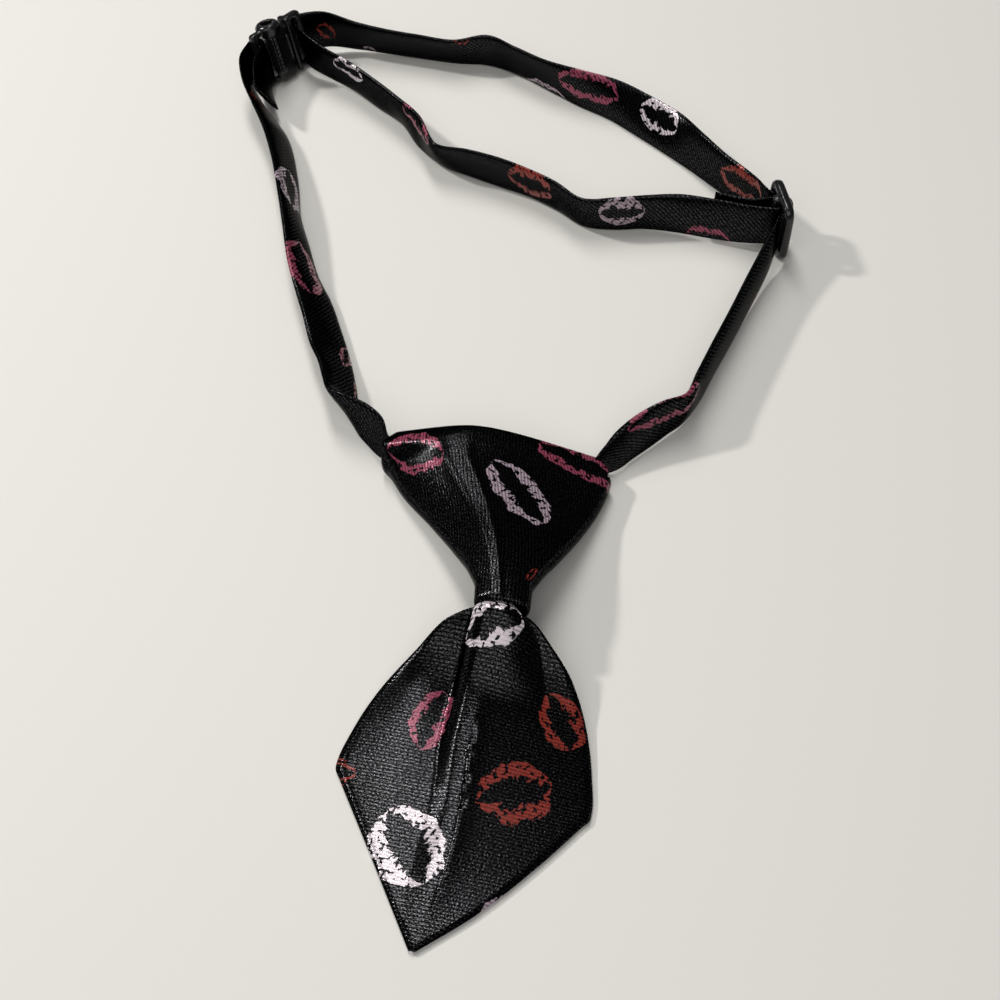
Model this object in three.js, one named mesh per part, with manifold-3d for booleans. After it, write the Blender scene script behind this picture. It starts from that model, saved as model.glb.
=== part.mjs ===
// A small dog's necktie collar, lying on a table: a satin tie blade and knot on an adjustable neck strap
// with a fastened plastic clasp and a slider. Millimetres, +Z up, the table is z = 0, the tie points to -Y.
import * as THREE from 'three';
import { mergeVertices } from 'three/addons/utils/BufferGeometryUtils.js';
import Module from 'manifold-3d';

const wasm = await Module();
wasm.setup();

// Driving dimensions
const CLOTH_WALL = 1.0;        // knot cloth, folded and pressed
const BLADE_WALL = 1.3;        // blade cloth with its fold and interlining
const STRAP_PLY = 1.1;         // strap, a strip folded flat and pulled tight round a bar
const STRAP_PUFF = 2.0;        // strap where it lies free and its fold opens a little
const STRAP_WIDTH = 10;
const GAP = 0.3;               // clearance between touching pieces
const STRAP_STEP = 3.2;        // longest facet along the strap

const BLADE = { x: -0.7, y: -54, turn: -12.6 };
const KNOT = { x: -1.5, y: -20, turn: -6, sleeveHalf: 22.8, sleeveBack: 1.9, sleeveTop: 8.4 };
const SLEEVE_STRAP = 6.2;        // strap width where it is bunched in the knot's sleeve

const BAR_RADIUS = 1.0;        // strap bars of the clasp and the slider
const SLIDER = {
  x: 59.5, y: 44, turn: 8, lean: 0,
  wide: 12.6, tall: 14.6, thick: 2.2, corner: 3.2, soft: 0.7,
  barSet: 1.2,                 // the middle bar lies this far back from the frame
};
const CLASP = {
  x: -53.9, y: 105.6, turn: 48, lean: 16,
  tall: 13.6, thick: 4.2, barReach: 6.7, frameThick: 2,
};

const BOX_CENTRE = { x: -0.4, y: -0.7 };

const PAST_ALL = 300;          // length of a cutting tool that passes right through
const TABLE_DEPTH = 10;
const EDGE_SOFT = 0.5;         // softened edges of the plastic pieces

const UP = new THREE.Vector3(0, 0, 1);
const rad = THREE.MathUtils.degToRad;
const lerp = THREE.MathUtils.lerp;
const clamp = THREE.MathUtils.clamp;

// Materials
const satin = () => new THREE.MeshStandardMaterial({ color: 0x17171a, roughness: 0.42, metalness: 0 });
const plastic = () => new THREE.MeshStandardMaterial({ color: 0x0a0a0b, roughness: 0.18, metalness: 0 });

// Solid helpers
function solidFrom(geometry) {
  const bare = geometry.clone();
  bare.deleteAttribute('normal');
  bare.deleteAttribute('uv');
  const merged = mergeVertices(bare, 1e-4);
  const vertProperties = new Float32Array(merged.attributes.position.array);
  const triVerts = new Uint32Array(merged.index.array);
  return new wasm.Manifold(new wasm.Mesh({ numProp: 3, vertProperties, triVerts }));
}

function geometryFrom(solid) {
  const mesh = solid.getMesh();
  const geometry = new THREE.BufferGeometry();
  geometry.setAttribute('position', new THREE.BufferAttribute(new Float32Array(mesh.vertProperties), 3));
  geometry.setIndex(new THREE.BufferAttribute(new Uint32Array(mesh.triVerts), 1));
  return geometry;
}

function box(sizeX, sizeY, sizeZ, x, y, z) {
  return new THREE.BoxGeometry(sizeX, sizeY, sizeZ).translate(x, y, z);
}

// End caps of a skin, as triangles of ring points: between the ring's two halves, or a fan from one point
function pairedCap(count) {
  const faces = [];
  for (let i = 0; i + 1 < count / 2; i += 1) {
    const j = count - 1 - i;
    faces.push([i, j - 1, j], [i, i + 1, j - 1]);
  }
  return faces;
}

function fanCap(count) {
  const faces = [];
  for (let i = 1; i + 1 < count; i += 1) faces.push([0, i, i + 1]);
  return faces;
}

// A closed skin through rings of equal point count
function skinRings(rings, cap) {
  const count = rings[0].length;
  const index = [];
  for (let r = 0; r + 1 < rings.length; r += 1) {
    for (let i = 0; i < count; i += 1) {
      const a = r * count + i;
      const b = r * count + (i + 1) % count;
      index.push(a, b + count, b, a, a + count, b + count);
    }
  }
  const end = (rings.length - 1) * count;
  for (const [a, b, c] of cap(count)) {
    index.push(a, b, c);
    index.push(end + a, end + c, end + b);
  }
  const geometry = new THREE.BufferGeometry();
  const points = rings.flat().flatMap((p) => p.toArray());
  geometry.setAttribute('position', new THREE.Float32BufferAttribute(points, 3));
  geometry.setIndex(index);
  return geometry;
}

// Rows of a table, read at any station by straight lines between the rows' named columns
function tableAt(table, key, at) {
  const last = table.length - 1;
  let i = 0;
  while (i < last - 1 && table[i + 1][key] < at) i += 1;
  const share = clamp((at - table[i][key]) / (table[i + 1][key] - table[i][key]), 0, 1);
  const row = {};
  for (const column of Object.keys(table[0])) {
    row[column] = lerp(table[i][column], table[i + 1][column], share);
  }
  return row;
}

// Height of a fold over its flank, 1 on the crest and 0 at the foot: a soft wave, or a round tube where
// the fold is tight
function foldShape(share, tight) {
  const s = clamp(Math.abs(share), 0, 1);
  const wave = 0.5 + 0.5 * Math.cos(Math.PI * s);
  const tube = Math.sqrt(1 - s * s);
  return lerp(wave, tube, tight);
}

// Tie blade. A row for each section from the gathered stem inside the knot to the tip: the distance along
// the blade, the cloth left and right of its axis, the height that its underside keeps off the table, the
// pleat's crest, where it runs, how far its two feet lie from it, and how tightly it is rolled.
const BLADE_SECTIONS = [
  { run: -1, left: 2.8, right: 3.6, base: 10, crest: 12.7, at: 0.4, footL: 2.9, footR: 2.9, tight: 1 },
  { run: 5.6, left: 2.3, right: 4.3, base: 10, crest: 12.7, at: 1, footL: 3.1, footR: 3.1, tight: 1 },
  { run: 7, left: 4.8, right: 7.2, base: 9.6, crest: 13.3, at: 1.3, footL: 4.6, footR: 4.4, tight: 0.9 },
  { run: 8.6, left: 8.4, right: 9.9, base: 7.8, crest: 13, at: 2, footL: 5.8, footR: 5.4, tight: 0.8 },
  { run: 13, left: 12.3, right: 15.1, base: 3.6, crest: 9.8, at: 2.3, footL: 6.4, footR: 7, tight: 0.6 },
  { run: 20.2, left: 16.9, right: 19.2, base: 0.3, crest: 6.2, at: 2.5, footL: 7, footR: 8.5, tight: 0.35 },
  { run: 28, left: 19.4, right: 21.6, base: 0, crest: 4.5, at: 2.5, footL: 7.4, footR: 9.5, tight: 0.15 },
  { run: 36, left: 20.6, right: 23, base: 0, crest: 3.4, at: 2.4, footL: 8, footR: 10, tight: 0 },
  { run: 46, left: 13.4, right: 16.3, base: 0, crest: 2.6, at: 1.9, footL: 8, footR: 9, tight: 0 },
  { run: 56, left: 6.2, right: 8.5, base: 0, crest: 1.9, at: 1.2, footL: 5, footR: 5, tight: 0 },
  { run: 64, left: 0.5, right: 0.5, base: 0, crest: 1.35, at: 0, footL: 0.2, footR: 0.2, tight: 0 },
];
const BLADE_STATIONS = [-1, 2, 5.6, 7, 8.6, 10.8, 13, 16.6, 20.2, 24, 28, 32, 36, 41, 46, 51, 56, 60, 64];
const BLADE_PANEL_STEPS = 4;   // facets across each of the blade's four panels
const TABLE_TRIM = 0.05;       // depth pressed flat where cloth rests on the table
const EDGE_STRIP = 0.2;        // least width of a side panel beside the pleat
const RIGHT_FLANK = 0.6;       // the pleat's right flank falls more softly than its left

function bladeCrossPoints(row) {
  const marks = [-row.left, row.at - row.footL, row.at, row.at + row.footR, row.right];
  marks[1] = Math.max(marks[1], -row.left + EDGE_STRIP);
  marks[3] = Math.min(marks[3], row.right - EDGE_STRIP);
  const across = [];
  for (let panel = 0; panel < 4; panel += 1) {
    for (let i = 0; i < BLADE_PANEL_STEPS; i += 1) {
      across.push(lerp(marks[panel], marks[panel + 1], i / BLADE_PANEL_STEPS));
    }
  }
  across.push(row.right);
  const flat = row.base + BLADE_WALL;
  return across.map((c) => {
    const foot = c < row.at ? row.at - marks[1] : marks[3] - row.at;
    const tight = c < row.at ? row.tight : row.tight * RIGHT_FLANK;
    return new THREE.Vector2(c, flat + (row.crest - flat) * foldShape((c - row.at) / foot, tight));
  });
}

// The wall's inner face, one wall thickness in from the outer face
function innerFace(face, wall, floor) {
  return face.map((p, i) => {
    const before = face[Math.max(i - 1, 0)];
    const after = face[Math.min(i + 1, face.length - 1)];
    const along = after.clone().sub(before).normalize();
    const inner = new THREE.Vector2(p.x + along.y * wall, p.y - along.x * wall);
    inner.y = Math.max(inner.y, floor);
    return inner;
  });
}

function bladeGeometry() {
  const rings = BLADE_STATIONS.map((run) => {
    const row = tableAt(BLADE_SECTIONS, 'run', run);
    const outer = bladeCrossPoints(row);
    const inner = innerFace(outer, BLADE_WALL, row.base - TABLE_TRIM);
    const lift = (p) => new THREE.Vector3(p.x, -run, p.y - TABLE_TRIM);
    return [...outer.map(lift), ...inner.reverse().map(lift)];
  });
  const table = box(PAST_ALL, PAST_ALL, TABLE_DEPTH, 0, 0, -TABLE_DEPTH / 2);
  return geometryFrom(solidFrom(skinRings(rings, pairedCap)).subtract(solidFrom(table)));
}

// Tie knot. A row for each section from the sleeve's back wall to the neck: the distance from the back
// wall, the left and right fold, where the crest runs, its height, the height at the folds, the height that
// the underside keeps off the table, and roundness. The neck stands up and the blade slopes down from it.
const KNOT_SECTIONS = [
  { run: 0, left: -19.4, right: 18.8, at: -1, crest: 10.6, flank: 7.4, floor: 0, tight: 0 },
  { run: 0.9, left: -20.4, right: 19.8, at: -1, crest: 11.8, flank: 8.4, floor: 0, tight: 0 },
  { run: 3.9, left: -22.8, right: 22.3, at: -1, crest: 12, flank: 8.4, floor: 0, tight: 0 },
  { run: 6.9, left: -20.4, right: 21.8, at: 0, crest: 12, flank: 6, floor: 0, tight: 0.2 },
  { run: 11.3, left: -17.5, right: 20.6, at: 0.4, crest: 12, flank: 4.6, floor: 0.6, tight: 0.3 },
  { run: 19.6, left: -10.9, right: 17.6, at: 1.5, crest: 12.2, flank: 6.6, floor: 3, tight: 0.3 },
  { run: 27.9, left: -5.2, right: 14, at: 2.8, crest: 13.4, flank: 9.9, floor: 6.2, tight: 0.4 },
  { run: 33.7, left: -1.7, right: 11.2, at: 4.3, crest: 14.2, flank: 12.2, floor: 8.2, tight: 0.7 },
  { run: 37.4, left: -0.2, right: 9.9, at: 4.7, crest: 14.3, flank: 12.6, floor: 8.6, tight: 0.9 },
  { run: 40.4, left: 0, right: 9.9, at: 4.7, crest: 14.2, flank: 12.6, floor: 8.6, tight: 0.95 },
];
const KNOT_STATIONS = [0, 0.9, 3.9, 5.4, 6.9, 9.1, 11.3, 15.4, 19.6, 23.7, 27.9, 30.8, 33.7, 37.4, 40.4];
const KNOT_ACROSS = 12;        // facets across the knot's front
const FOLD_ROUND = 0.7;        // rounding of the side folds
const LEAST_HOLLOW = 0.3;      // height that the hollow keeps under low folds
const NECK_OVERRUN = 1;        // the hollow is cut past the neck, so that the blade's stem can enter

function knotRing(row, run, inset) {
  const left = row.left + inset;
  const right = row.right - inset;
  const floor = row.floor + inset;
  const front = [];
  for (let i = 0; i <= KNOT_ACROSS; i += 1) {
    const x = lerp(left + FOLD_ROUND, right - FOLD_ROUND, i / KNOT_ACROSS);
    const foot = x < row.at ? row.at - row.left : row.right - row.at;
    const height = row.flank + (row.crest - row.flank) * foldShape((x - row.at) / foot, row.tight);
    front.push([x, Math.max(height - inset, floor + LEAST_HOLLOW)]);
  }
  const mid = (floor + row.flank - inset) / 2;
  const under = front.map(([x]) => [x, floor]).reverse();
  const outline = [[left, mid], ...front, [right, mid], ...under];
  return outline.map(([x, z]) => new THREE.Vector3(x, KNOT.sleeveBack - run, z));
}

function knotGeometry() {
  const neckEnd = KNOT_SECTIONS[KNOT_SECTIONS.length - 1].run;
  const outer = KNOT_STATIONS.map((run) => knotRing(tableAt(KNOT_SECTIONS, 'run', run), run, 0));
  const hollowRuns = [CLOTH_WALL, ...KNOT_STATIONS.slice(2), neckEnd + NECK_OVERRUN];
  const hollow = hollowRuns.map((run) => knotRing(tableAt(KNOT_SECTIONS, 'run', run), run, CLOTH_WALL));
  const sleeveDepth = STRAP_PLY + 2 * GAP;
  const sleeveTall = KNOT.sleeveTop - 2 * CLOTH_WALL;
  const sleeve = box(PAST_ALL, sleeveDepth, sleeveTall, 0, 0, CLOTH_WALL + sleeveTall / 2);
  const shell = solidFrom(skinRings(outer, pairedCap)).subtract(solidFrom(skinRings(hollow, pairedCap)));
  return geometryFrom(shell.subtract(solidFrom(sleeve)));
}

// Strap bars: a point on the bar's axis at mid height, the bar's own direction, and the way that the
// strap's turn bulges round it
function leaningBar(x, y, z, leanAngle, leanTo, bulgeTo) {
  const across = new THREE.Vector3(Math.cos(rad(leanTo)), Math.sin(rad(leanTo)), 0);
  const along = UP.clone().multiplyScalar(Math.cos(rad(leanAngle)));
  along.addScaledVector(across, Math.sin(rad(leanAngle)));
  const bulge = new THREE.Vector3(Math.cos(rad(bulgeTo)), Math.sin(rad(bulgeTo)), 0);
  bulge.addScaledVector(along, -bulge.dot(along)).normalize();
  return { at: new THREE.Vector3(x, y, z), along, bulge };
}

// Mid height of a leaning plate that stands on its lower edge
function standingMid({ tall, thick, lean }) {
  return tall / 2 * Math.cos(rad(lean)) + thick / 2 * Math.sin(rad(lean));
}

const CLASP_MID = standingMid(CLASP);
const SLIDER_MID = standingMid(SLIDER);
const CLASP_LEAN_TO = CLASP.turn + 90;

function claspBar(reach, bulgeTo) {
  const x = CLASP.x + reach * Math.cos(rad(CLASP.turn));
  const y = CLASP.y + reach * Math.sin(rad(CLASP.turn));
  return leaningBar(x, y, CLASP_MID, CLASP.lean, CLASP_LEAN_TO, bulgeTo);
}

const LEFT_BAR = claspBar(-CLASP.barReach, CLASP.turn);
const RIGHT_BAR = claspBar(CLASP.barReach, CLASP.turn + 180);

function sliderBar() {
  const x = SLIDER.x - SLIDER.barSet * Math.cos(rad(SLIDER.turn));
  const y = SLIDER.y - SLIDER.barSet * Math.sin(rad(SLIDER.turn));
  return leaningBar(x, y, SLIDER_MID, SLIDER.lean, SLIDER.turn + 180, SLIDER.turn);
}

const SLIDER_BAR = sliderBar();
const INNER_TURN = BAR_RADIUS + GAP + STRAP_PLY / 2;
const OUTER_TURN = INNER_TURN + GAP + STRAP_PLY;

const TURNS = {
  leftClasp: { from: -43, to: 137, steps: 6 },
  overSlider: { from: -88, to: 88, steps: 6 },
  rightClasp: { from: -114, to: 6, steps: 4 },
  onSlider: { from: -95, to: 95, steps: 6 },
};

// The strap is a band between a lower edge, its foot, and an upper edge, its head. A turn round a bar goes
// anticlockwise seen from above, from one angle to another measured from the bulge.
function turnRows(bar, radius, { from, to, steps }) {
  const side = new THREE.Vector3().crossVectors(bar.along, bar.bulge);
  const rows = [];
  for (let i = 0; i <= steps; i += 1) {
    const angle = rad(lerp(from, to, i / steps));
    const middle = bar.at.clone();
    middle.addScaledVector(bar.bulge, radius * Math.cos(angle));
    middle.addScaledVector(side, radius * Math.sin(angle));
    const foot = middle.clone().addScaledVector(bar.along, -STRAP_WIDTH / 2);
    const head = middle.clone().addScaledVector(bar.along, STRAP_WIDTH / 2);
    rows.push({ foot, head, ply: STRAP_PLY });
  }
  return rows;
}

// Rows of a free run: the foot's place, its lift off the table, how far the head leans over the foot, width.
// The run is thin at as many rows of its start and its end as are named.
function runRows(rows, thinStart, thinEnd) {
  return rows.map(({ x, y, lift, overX, overY, width = STRAP_WIDTH }, i) => {
    const foot = new THREE.Vector3(x, y, lift);
    const rise = Math.sqrt(width * width - overX * overX - overY * overY);
    const thin = i < thinStart || i >= rows.length - thinEnd;
    const head = new THREE.Vector3(x + overX, y + overY, lift + rise);
    return { foot, head, ply: thin ? STRAP_PLY : STRAP_PUFF };
  });
}

const SLEEVE_SHARES = [-1, -0.9, -0.5, 0, 0.5, 0.9, 1];   // places along the sleeve, 1 at its mouth
const MOUTH_SLANT = 1.2;       // the strap's upper edge leaves the sleeve this much sooner

function sleeveRows() {
  const place = (along, height) => {
    const x = KNOT.x + along * Math.cos(rad(KNOT.turn));
    const y = KNOT.y + along * Math.sin(rad(KNOT.turn));
    return new THREE.Vector3(x, y, height);
  };
  const low = CLOTH_WALL + GAP;
  const high = low + SLEEVE_STRAP - 2 * GAP;
  return SLEEVE_SHARES.map((share) => ({
    foot: place(share * KNOT.sleeveHalf, low),
    head: place(share * (KNOT.sleeveHalf - MOUTH_SLANT), high),
    ply: STRAP_PLY,
  }));
}

const LEFT_FLAP = [
  { x: -53.6, y: 88, lift: 2.6, overX: -4.4, overY: -2.6 },
  { x: -55.7, y: 95, lift: 2.6, overX: -3.2, overY: -1.2 },
];
const LEFT_RUN = [
  { x: -60, y: 96.6, lift: 2, overX: -2.4, overY: -0.4 },
  { x: -57.8, y: 91.6, lift: 1.2, overX: -3.6, overY: -1.8 },
  { x: -53.8, y: 85.4, lift: 0.7, overX: -5, overY: -2.2 },
  { x: -50.2, y: 77.6, lift: 0.5, overX: -5.5, overY: -1.7 },
  { x: -47.3, y: 64.7, lift: 0.5, overX: -4.9, overY: -0.8 },
  { x: -45.6, y: 51.6, lift: 0.5, overX: -3.8, overY: -0.7 },
  { x: -43, y: 42.4, lift: 0.6, overX: -4.6, overY: -1.4 },
  { x: -40.1, y: 32.4, lift: 0.7, overX: -5.6, overY: -2.1 },
  { x: -36.8, y: 24.8, lift: 0.8, overX: -6.7, overY: -2.6 },
  { x: -34.3, y: 16.9, lift: 0.8, overX: -7, overY: -2.2 },
  { x: -32.2, y: 9.8, lift: 0.8, overX: -7.3, overY: -2 },
  { x: -30.6, y: 2.8, lift: 0.8, overX: -6.5, overY: -1.4 },
  { x: -29.8, y: -2.2, lift: 0.8, overX: -6, overY: -1.2 },
];
const ROLL_RUN = [
  { x: -30, y: -6, lift: 0.8, overX: -4.6, overY: -1 },
  { x: -29.6, y: -9.2, lift: 0.8, overX: -1.6, overY: -0.6 },
  { x: -28.6, y: -12, lift: 0.9, overX: 1.8, overY: 0, width: 9.6 },
  { x: -26.8, y: -14.8, lift: 1, overX: 3.2, overY: 0.2, width: 9 },
];
const RIGHT_RUN = [
  { x: 23.4, y: -19.8, lift: 1, overX: -1.7, overY: 1.7, width: 9.2 },
  { x: 26.3, y: -16.8, lift: 0.7, overX: -2.1, overY: 2.1 },
  { x: 30.5, y: -12.9, lift: 0.5, overX: -0.5, overY: 0.6 },
  { x: 34.7, y: -8.7, lift: 0.4, overX: 0.7, overY: -0.5 },
  { x: 38.6, y: -2.9, lift: 0.3, overX: -0.3, overY: 0.2 },
  { x: 42.2, y: 4.5, lift: 0.3, overX: -0.5, overY: 0.2 },
  { x: 46.7, y: 13.5, lift: 0.3, overX: -0.6, overY: 0.5 },
  { x: 51.5, y: 23.4, lift: 0.5, overX: -0.9, overY: 0.4 },
  { x: 55.6, y: 32, lift: 1.1, overX: -0.8, overY: 0.3 },
  { x: 58, y: 37.4, lift: 2, overX: -0.6, overY: 0 },
];
const OUTER_RUN = [
  { x: 56.8, y: 49.2, lift: 2.1, overX: -0.3, overY: 0 },
  { x: 55.2, y: 52, lift: 1.8, overX: 0, overY: 0.2 },
  { x: 52.8, y: 55.6, lift: 1.2, overX: 0.3, overY: 0.4 },
  { x: 48.5, y: 61.5, lift: 0.6, overX: 0.7, overY: 0.6 },
  { x: 43, y: 68.5, lift: 0.3, overX: 1.9, overY: 1.5 },
  { x: 37, y: 75, lift: 0.2, overX: 3.6, overY: 3.5 },
  { x: 31, y: 81.3, lift: 0.2, overX: 3.1, overY: 3.1 },
  { x: 24.8, y: 87.6, lift: 0.2, overX: 1.9, overY: 2.2 },
  { x: 17.8, y: 92.7, lift: 0.2, overX: 0.3, overY: 0.4 },
  { x: 11, y: 98.7, lift: 0.2, overX: -1.4, overY: -1.5 },
  { x: 4, y: 104.6, lift: 0.2, overX: -1.5, overY: -2.1 },
  { x: -3.6, y: 108.6, lift: 0.2, overX: -0.5, overY: -1.7 },
  { x: -11.7, y: 109.4, lift: 0.2, overX: -0.5, overY: -3.8 },
  { x: -20, y: 111.2, lift: 0.2, overX: -0.8, overY: -3.6 },
  { x: -28, y: 113.2, lift: 0.3, overX: -0.8, overY: -3.4 },
  { x: -36, y: 114.4, lift: 0.8, overX: -0.4, overY: -2.6 },
  { x: -43.6, y: 114, lift: 1.8, overX: -0.6, overY: 0.2 },
];
const INNER_RUN = [
  { x: -46.4, y: 104.8, lift: 1.8, overX: -0.8, overY: -0.4 },
  { x: -42.4, y: 102.4, lift: 1.2, overX: -0.6, overY: -1.8 },
  { x: -36.3, y: 98.2, lift: 0.6, overX: -0.8, overY: -2 },
  { x: -30, y: 91.9, lift: 0.3, overX: -1.4, overY: -1.3 },
  { x: -23.8, y: 85.6, lift: 0.2, overX: -2, overY: -1.3 },
  { x: -19.4, y: 76.6, lift: 0.2, overX: -0.4, overY: -0.2 },
  { x: -13.6, y: 70.4, lift: 0.2, overX: -2.4, overY: -3.2 },
  { x: -7, y: 66.5, lift: 0.2, overX: -1.3, overY: -2.2 },
  { x: -0.4, y: 63, lift: 0.2, overX: -0.9, overY: -1.7 },
  { x: 6.2, y: 59.6, lift: 0.2, overX: -1.2, overY: -1.9 },
  { x: 12.2, y: 55.1, lift: 0.2, overX: -1.4, overY: -1.6 },
  { x: 17.8, y: 50, lift: 0.2, overX: -1, overY: -2.2 },
  { x: 24.2, y: 48.8, lift: 0.2, overX: 0, overY: -1 },
  { x: 31, y: 48.9, lift: 0.3, overX: 0, overY: -0.5 },
  { x: 38, y: 47.4, lift: 0.6, overX: 0.2, overY: 1.1 },
  { x: 45, y: 45, lift: 1.0, overX: 0.5, overY: 1.6 },
  { x: 52, y: 42.9, lift: 1.6, overX: 0.7, overY: 0.8 },
];
const INNER_FLAP = [
  { x: 52, y: 44.9, lift: 1.9, overX: 0.7, overY: 0.8 },
  { x: 45.2, y: 46.9, lift: 1.4, overX: 0.5, overY: 1.6 },
];

function strapRows() {
  return [
    ...runRows(LEFT_FLAP, 2, 0),
    ...turnRows(LEFT_BAR, INNER_TURN, TURNS.leftClasp),
    ...runRows(LEFT_RUN, 3, 0),
    ...runRows(ROLL_RUN, 0, 1),
    ...sleeveRows(),
    ...runRows(RIGHT_RUN, 1, 1),
    ...turnRows(SLIDER_BAR, OUTER_TURN, TURNS.overSlider),
    ...runRows(OUTER_RUN, 2, 1),
    ...turnRows(RIGHT_BAR, INNER_TURN, TURNS.rightClasp),
    ...runRows(INNER_RUN, 1, 2),
    ...turnRows(SLIDER_BAR, INNER_TURN, TURNS.onSlider),
    ...runRows(INNER_FLAP, 2, 0),
  ];
}

// One section of the band: a flat eight-sided outline with rounded edges, foot to head
function strapRing(foot, head, along, ply) {
  const across = head.clone().sub(foot);
  const out = new THREE.Vector3().crossVectors(along, across).normalize().multiplyScalar(ply / 2);
  const edge = ply / 2 / across.length();
  const shares = [edge, 0.5, 1 - edge];
  const at = (share, side) => foot.clone().addScaledVector(across, share).addScaledVector(out, side);
  const front = shares.map((share) => at(share, 1));
  const back = shares.map((share) => at(share, -1)).reverse();
  return [at(0, 0), ...front, at(1, 0), ...back];
}

function strapGeometry() {
  const rows = strapRows();
  const feet = new THREE.CatmullRomCurve3(rows.map((row) => row.foot), false, 'centripetal');
  const heads = new THREE.CatmullRomCurve3(rows.map((row) => row.head), false, 'centripetal');
  const ring = (place, ply) => {
    const t = place / (rows.length - 1);
    const along = feet.getTangent(t).add(heads.getTangent(t));
    return strapRing(feet.getPoint(t), heads.getPoint(t), along, ply);
  };
  const rings = [ring(0, rows[0].ply)];
  for (let i = 0; i + 1 < rows.length; i += 1) {
    const steps = Math.ceil(rows[i].foot.distanceTo(rows[i + 1].foot) / STRAP_STEP);
    for (let k = 1; k <= steps; k += 1) {
      rings.push(ring(i + k / steps, lerp(rows[i].ply, rows[i + 1].ply, k / steps)));
    }
  }
  return skinRings(rings, fanCap);
}

// Rounded outlines for the plastic pieces
function roundedRectangle(path, x0, y0, x1, y1, radius) {
  path.moveTo(x0 + radius, y0);
  path.lineTo(x1 - radius, y0);
  path.quadraticCurveTo(x1, y0, x1, y0 + radius);
  path.lineTo(x1, y1 - radius);
  path.quadraticCurveTo(x1, y1, x1 - radius, y1);
  path.lineTo(x0 + radius, y1);
  path.quadraticCurveTo(x0, y1, x0, y1 - radius);
  path.lineTo(x0, y0 + radius);
  path.quadraticCurveTo(x0, y0, x0 + radius, y0);
  return path;
}

// A plate in the XZ plane, its thickness along Y, with softened edges
function mouldedPlate(shape, thick, bevel) {
  const settings = {
    depth: thick - 2 * bevel,
    bevelEnabled: true,
    bevelSize: bevel,
    bevelOffset: -bevel,
    bevelThickness: bevel,
    bevelSegments: 2,
    curveSegments: 5,
  };
  const geometry = new THREE.ExtrudeGeometry(shape, settings);
  return geometry.translate(0, 0, bevel - thick / 2).rotateX(Math.PI / 2);
}

// Slider: a frame with one wide opening, and the middle bar set back from it
const SLIDER_OPENING = { half: OUTER_TURN + STRAP_PLY / 2 + GAP, tall: 11, corner: 1.2 };
const SLIDER_BAR_SHAPE = { corner: 0.7, soft: 0.4, root: 1 };

function sliderGeometry() {
  const { wide, tall, thick, corner, soft, barSet } = SLIDER;
  const outline = roundedRectangle(new THREE.Shape(), -wide / 2, -tall / 2, wide / 2, tall / 2, corner);
  const { half } = SLIDER_OPENING;
  const high = SLIDER_OPENING.tall / 2;
  outline.holes.push(roundedRectangle(new THREE.Path(), -half, -high, half, high, SLIDER_OPENING.corner));
  const frame = solidFrom(mouldedPlate(outline, thick, soft));
  const barHalf = high + SLIDER_BAR_SHAPE.root;
  const barShape = roundedRectangle(new THREE.Shape(), -BAR_RADIUS, -barHalf, BAR_RADIUS, barHalf,
    SLIDER_BAR_SHAPE.corner);
  const bar = mouldedPlate(barShape, 2 * BAR_RADIUS, SLIDER_BAR_SHAPE.soft).translate(0, barSet, 0);
  return geometryFrom(frame.add(solidFrom(bar)));
}

// Clasp, drawn with the strap running along X and its bars along Z. Each half is a thin frame round its strap
// slot with a thicker body towards the middle.
const CLASP_BAR_END = CLASP.barReach + BAR_RADIUS;
const STRAP_SLOT = { half: 5.5, wide: INNER_TURN + STRAP_PLY / 2 + GAP - BAR_RADIUS, corner: 0.6 };
const BODY_BACK = CLASP.barReach - BAR_RADIUS - STRAP_SLOT.wide;
const LEFT_HALF = { barHalf: 6.8, half: CLASP.tall / 2, front: 2, corner: 1, bodyCorner: 1.9 };
const BOSS = { radius: 3.1, rim: 0.7, tall: 3, top: 7.6, at: -1.9, hole: 1.5, sides: 20 };
const RIGHT_HALF = { half: 6.8, front: 2.3, thick: 3.8, corner: 1.2, bodyCorner: 0.7 };
const TONGUE = { half: 3.4, thick: 1.6, reach: 1, root: 1 };
const RIB = { tall: 9, wide: 0.6, rise: 0.4, places: [-3.3, -2.2] };
const PANEL = { tall: 6.4, wide: 2.4, sink: 0.35, at: 0.2, up: 0.4 };

function strapSlot(barAt, side) {
  const near = barAt + side * BAR_RADIUS;
  const far = near + side * STRAP_SLOT.wide;
  return roundedRectangle(new THREE.Path(), Math.min(near, far), -STRAP_SLOT.half, Math.max(near, far),
    STRAP_SLOT.half, STRAP_SLOT.corner);
}

function leftFrame() {
  const shape = roundedRectangle(new THREE.Shape(), -CLASP_BAR_END, -LEFT_HALF.barHalf, LEFT_HALF.front,
    LEFT_HALF.barHalf, LEFT_HALF.corner);
  shape.holes.push(strapSlot(-CLASP.barReach, 1));
  return solidFrom(mouldedPlate(shape, CLASP.frameThick, EDGE_SOFT));
}

function leftBody() {
  const { half, front, bodyCorner } = LEFT_HALF;
  const shape = roundedRectangle(new THREE.Shape(), -BODY_BACK, -half, front, half, bodyCorner);
  return solidFrom(mouldedPlate(shape, CLASP.thick, EDGE_SOFT));
}

// A round boss on the left half's upper end, its rim bevelled, with a blind hole from above
function bossPart(radiusTop, radiusFoot, foot, top) {
  const part = new THREE.CylinderGeometry(radiusTop, radiusFoot, top - foot, BOSS.sides);
  return solidFrom(part.rotateX(Math.PI / 2).translate(BOSS.at, 0, (foot + top) / 2));
}

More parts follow.
